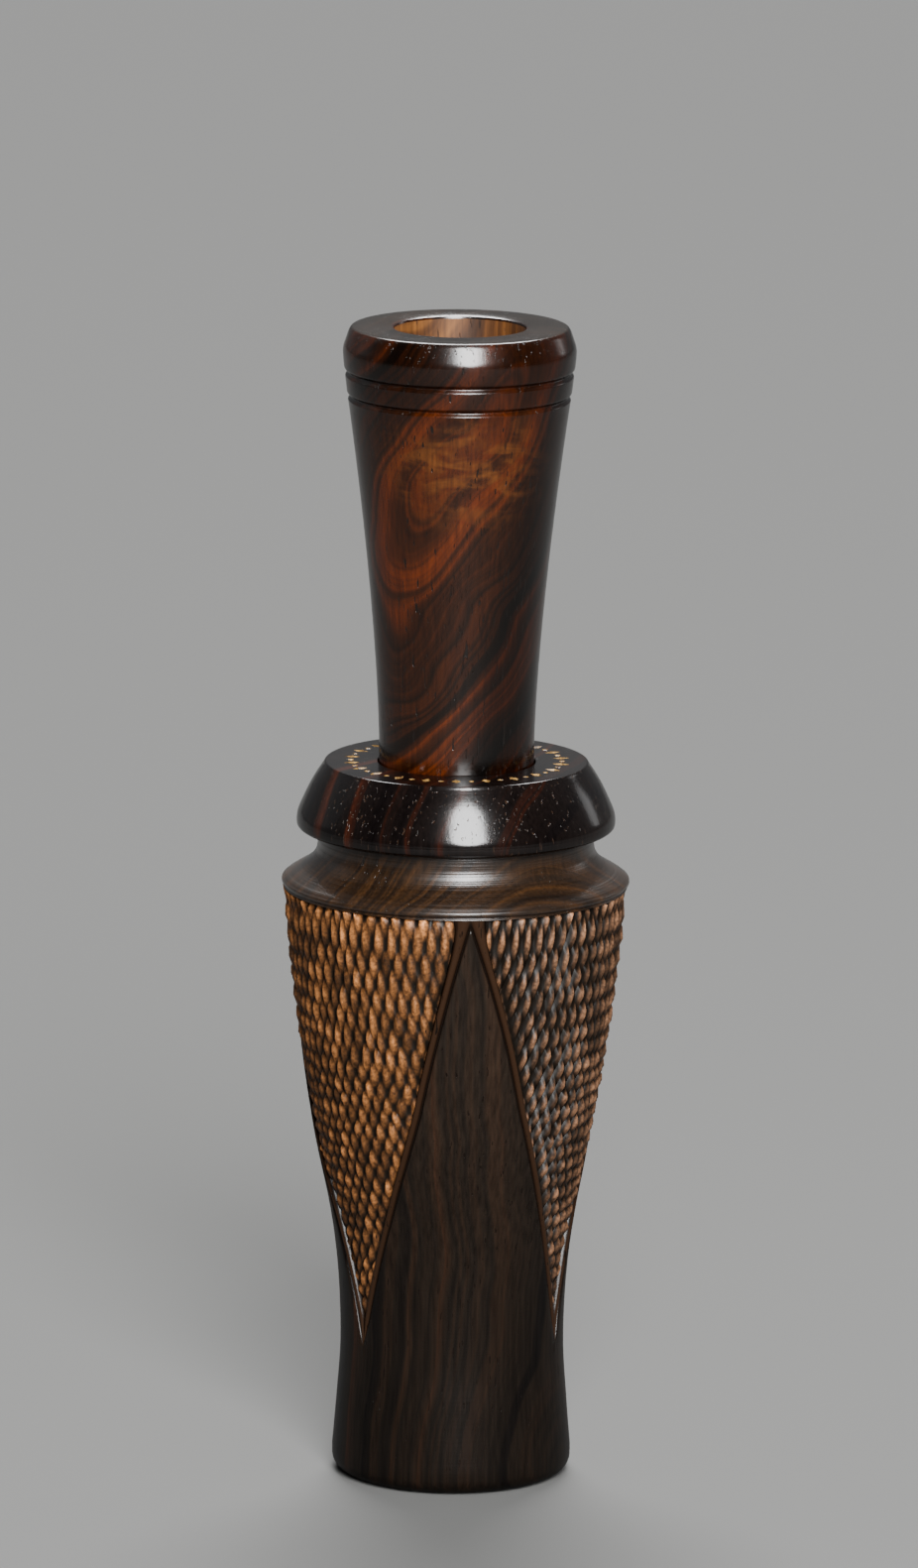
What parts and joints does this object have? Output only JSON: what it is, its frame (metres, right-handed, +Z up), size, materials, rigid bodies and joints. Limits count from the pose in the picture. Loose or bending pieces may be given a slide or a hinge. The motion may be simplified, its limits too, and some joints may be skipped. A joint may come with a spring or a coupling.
{
  "type": "duck call",
  "caption": "Turned, hand-checkered wooden duck call standing on its mouthpiece, with a band, a flared insert that pulls out, and a tone board, reed and cork wedge inside.",
  "frame": {"origin": "centre of the mouthpiece's resting face, which the call stands on", "axes": "+Z up along the bore, from the mouthpiece to the insert's bell; the reed lies on the -Y side of the tone board, and +X is to the right of it"},
  "size_m": [0.0404, 0.0404, 0.135],
  "materials": {
    "barrel_wood": "oiled, checkered",
    "band_wood": "polished",
    "insert_wood": "polished",
    "ring_rubber": "satin",
    "board_plastic": "moulded",
    "reed_film": "satin film",
    "wedge_cork": "cork, cut"
  },
  "bodies": {
    "barrel": {"barrel": "barrel_wood", "barrel_band": "band_wood"},
    "insert": {"insert": "insert_wood", "o_ring_upper": "ring_rubber", "o_ring_lower": "ring_rubber"},
    "tone_board": {"tone_board": "board_plastic"},
    "wedge": {"wedge_cork": "wedge_cork"},
    "reed": {"reed": "reed_film"}
  },
  "joints": [
    {"name": "insert_pull", "type": "slide", "parent": "barrel", "child": "insert", "axis": [0, 0, 1], "range_m": [0, 0.07]},
    {"name": "tone_board_pull", "type": "slide", "parent": "insert", "child": "tone_board", "axis": [0, 0, -1], "range_m": [0, 0.016]},
    {"name": "wedge_pull", "type": "slide", "parent": "tone_board", "child": "wedge", "axis": [0, 0, -1], "range_m": [0, 0.014]},
    {"name": "reed_flex", "type": "hinge", "parent": "wedge", "child": "reed", "pos_m": [0, -0.00123, 0.0614], "axis": [1, 0, 0], "range_deg": [-1, 1], "stiffness_Nm_per_rad": 0.02}
  ]
}
